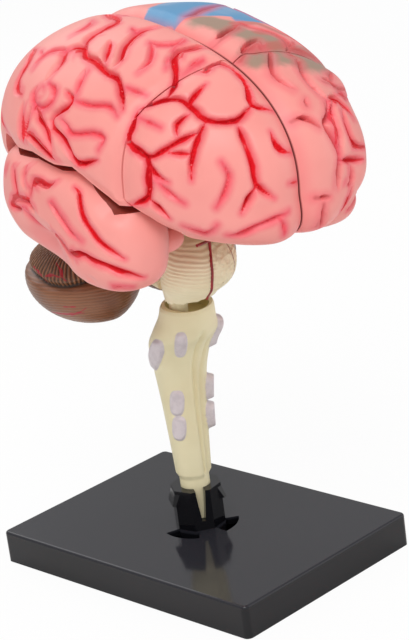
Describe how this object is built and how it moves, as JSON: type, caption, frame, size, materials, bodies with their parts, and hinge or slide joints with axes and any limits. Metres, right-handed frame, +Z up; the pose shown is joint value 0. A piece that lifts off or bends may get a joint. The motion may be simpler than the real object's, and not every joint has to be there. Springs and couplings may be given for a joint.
{
  "type": "brain anatomy model",
  "caption": "Take-apart human brain model on a rectangular stand, with removable lobes, inner nuclei, cerebellum halves and a spinal stem that plugs into the base.",
  "frame": {"origin": "middle of the underside of the base, on the table", "axes": "+Z up, +Y along the long side of the base towards the back of the brain, +X towards the left half of the brain"},
  "size_m": [0.0924, 0.1235, 0.1643],
  "materials": {
    "base_black": "gloss",
    "stem_cream": "satin",
    "brainstem_cream": "satin",
    "artery_red": "satin",
    "nerve_yellow": "satin",
    "cortex_pink": "satin",
    "core_pink": "satin",
    "white_matter": "satin",
    "nucleus_violet": "satin",
    "nucleus_blue": "satin",
    "nucleus_green": "satin",
    "cerebellum_brown": "satin"
  },
  "bodies": {
    "stand_base": {"base_plate": "base_black"},
    "stem": {"spinal_stem": "stem_cream"},
    "brain_stem": {"brain_stem_right": "brainstem_cream", "brain_stem_left": "brainstem_cream", "arterial_circle": "artery_red", "optic_chiasm": "nerve_yellow", "hypothalamus": "nucleus_green"},
    "core_right": {"hemisphere_core_right": "core_pink", "corpus_callosum_right": "white_matter", "fornix_right": "white_matter", "thalamus_right": "nucleus_violet", "caudate_nucleus_right": "nucleus_blue", "lentiform_nucleus_right": "nucleus_green"},
    "frontal_right": {"frontal_lobe_right": "cortex_pink"},
    "parieto_occipital_right": {"parieto_occipital_lobe_right": "cortex_pink"},
    "temporal_right": {"temporal_lobe_right": "cortex_pink", "hippocampus_right": "nucleus_blue"},
    "cerebellum_right": {"cerebellum_right": "cerebellum_brown"},
    "core_left": {"hemisphere_core_left": "core_pink", "corpus_callosum_left": "white_matter", "fornix_left": "white_matter", "thalamus_left": "nucleus_violet", "caudate_nucleus_left": "nucleus_blue", "lentiform_nucleus_left": "nucleus_green"},
    "frontal_left": {"frontal_lobe_left": "cortex_pink"},
    "parieto_occipital_left": {"parieto_occipital_lobe_left": "cortex_pink"},
    "temporal_left": {"temporal_lobe_left": "cortex_pink", "hippocampus_left": "nucleus_blue"},
    "cerebellum_left": {"cerebellum_left": "cerebellum_brown"}
  },
  "joints": [
    {"name": "stem_lift", "type": "slide", "parent": "stand_base", "child": "stem", "axis": [0, 0, 1], "range_m": [0, 0.022]},
    {"name": "brain_lift", "type": "slide", "parent": "stem", "child": "brain_stem", "axis": [-0.0249, -0.1281, 0.9914], "range_m": [0, 0.02]},
    {"name": "hemisphere_slide_right", "type": "slide", "parent": "brain_stem", "child": "core_right", "axis": [-0.9816, 0.1908, 0], "range_m": [0, 0.045]},
    {"name": "frontal_slide_right", "type": "slide", "parent": "core_right", "child": "frontal_right", "axis": [-0.9816, 0.1908, 0], "range_m": [0, 0.045]},
    {"name": "parieto_occipital_slide_right", "type": "slide", "parent": "core_right", "child": "parieto_occipital_right", "axis": [-0.9816, 0.1908, 0], "range_m": [0, 0.05]},
    {"name": "temporal_slide_right", "type": "slide", "parent": "core_right", "child": "temporal_right", "axis": [-0.9816, 0.1908, 0], "range_m": [0, 0.045]},
    {"name": "cerebellum_slide_right", "type": "slide", "parent": "brain_stem", "child": "cerebellum_right", "axis": [0.1892, 0.9732, 0.1305], "range_m": [0, 0.04]},
    {"name": "hemisphere_slide_left", "type": "slide", "parent": "brain_stem", "child": "core_left", "axis": [0.9816, -0.1908, 0], "range_m": [0, 0.045]},
    {"name": "frontal_slide_left", "type": "slide", "parent": "core_left", "child": "frontal_left", "axis": [0.9816, -0.1908, 0], "range_m": [0, 0.045]},
    {"name": "parieto_occipital_slide_left", "type": "slide", "parent": "core_left", "child": "parieto_occipital_left", "axis": [0.9816, -0.1908, 0], "range_m": [0, 0.05]},
    {"name": "temporal_slide_left", "type": "slide", "parent": "core_left", "child": "temporal_left", "axis": [0.9816, -0.1908, 0], "range_m": [0, 0.045]},
    {"name": "cerebellum_slide_left", "type": "slide", "parent": "brain_stem", "child": "cerebellum_left", "axis": [0.1892, 0.9732, 0.1305], "range_m": [0, 0.04]}
  ]
}
